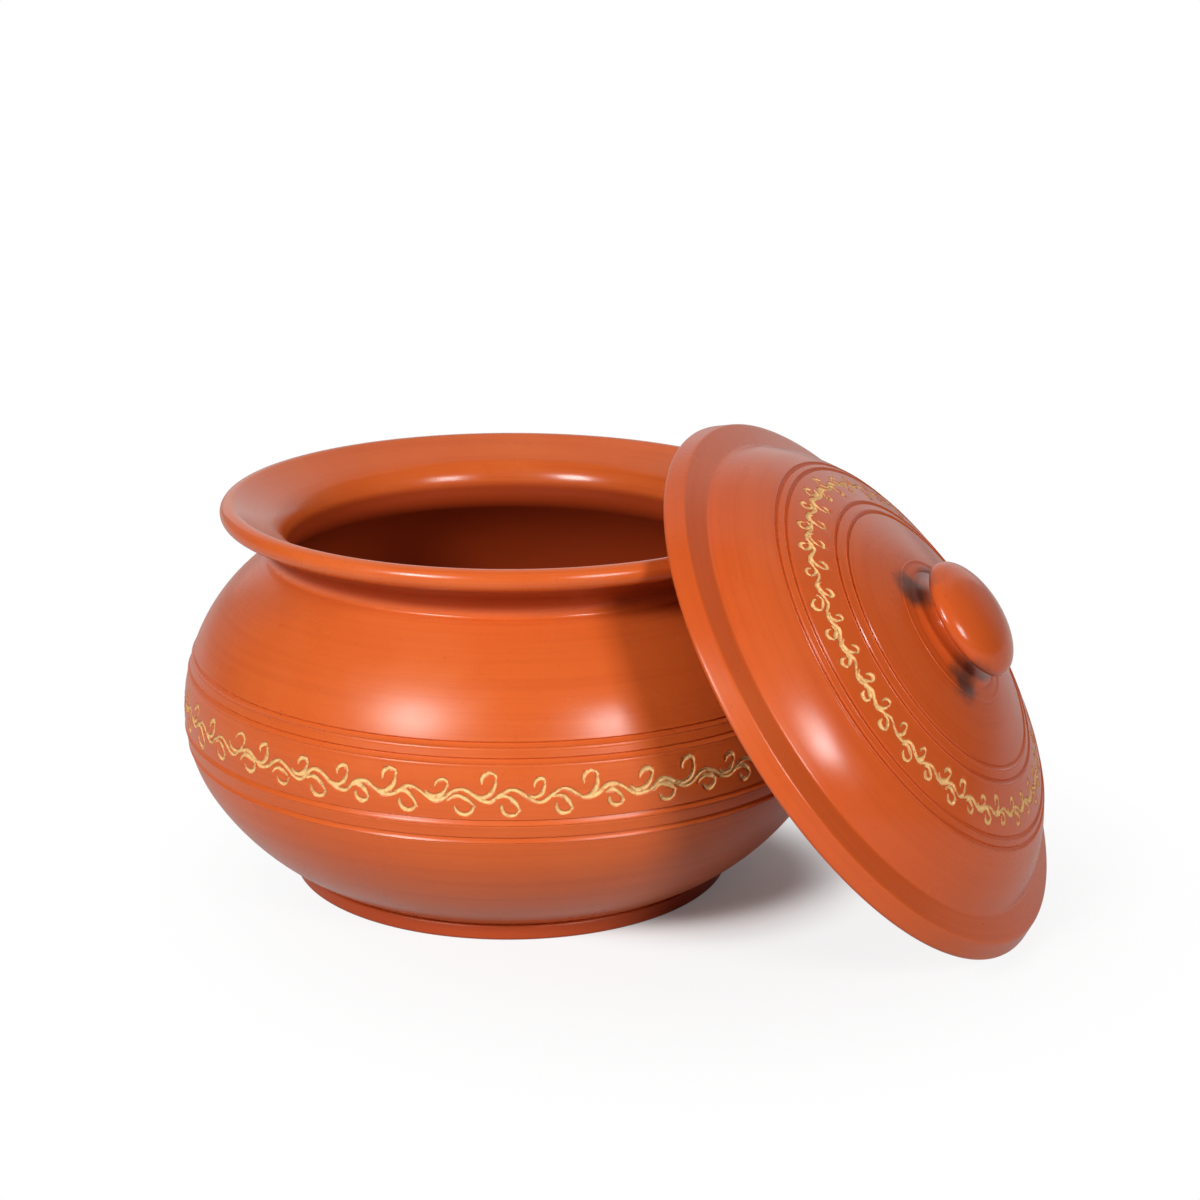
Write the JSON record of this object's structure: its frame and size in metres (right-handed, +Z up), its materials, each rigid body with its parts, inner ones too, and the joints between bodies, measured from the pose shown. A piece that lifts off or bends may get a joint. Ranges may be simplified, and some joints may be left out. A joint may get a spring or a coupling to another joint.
{
  "type": "lidded bowl",
  "caption": "Round-bellied earthenware cooking bowl with a flaring rim, a foot ring and a domed lid with a mushroom knob, the lid leaning on the rim.",
  "frame": {"origin": "centre of the bowl's foot, on the ground that the bowl and the leaning lid both stand on", "axes": "+Z up along the bowl's axis, +X towards the leaning lid, +Y to complete a right-handed frame"},
  "size_m": [0.3319, 0.249, 0.1776],
  "materials": {
    "burnished_clay": "red slip, burnished to a satin gloss",
    "plain_clay": "fired red clay, matt"
  },
  "bodies": {
    "bowl": {"belly": "burnished_clay", "neck_rim": "burnished_clay", "foot_ring": "burnished_clay"},
    "lid": {"lid_dome": "burnished_clay", "seat_ring": "plain_clay", "knob": "burnished_clay"}
  },
  "joints": [
    {"name": "lid_swing", "type": "hinge", "parent": "bowl", "child": "lid", "pos_m": [-0.00066, 0, -0.01568], "axis": [0, -1, 0], "range_deg": [0, 53.2]}
  ]
}
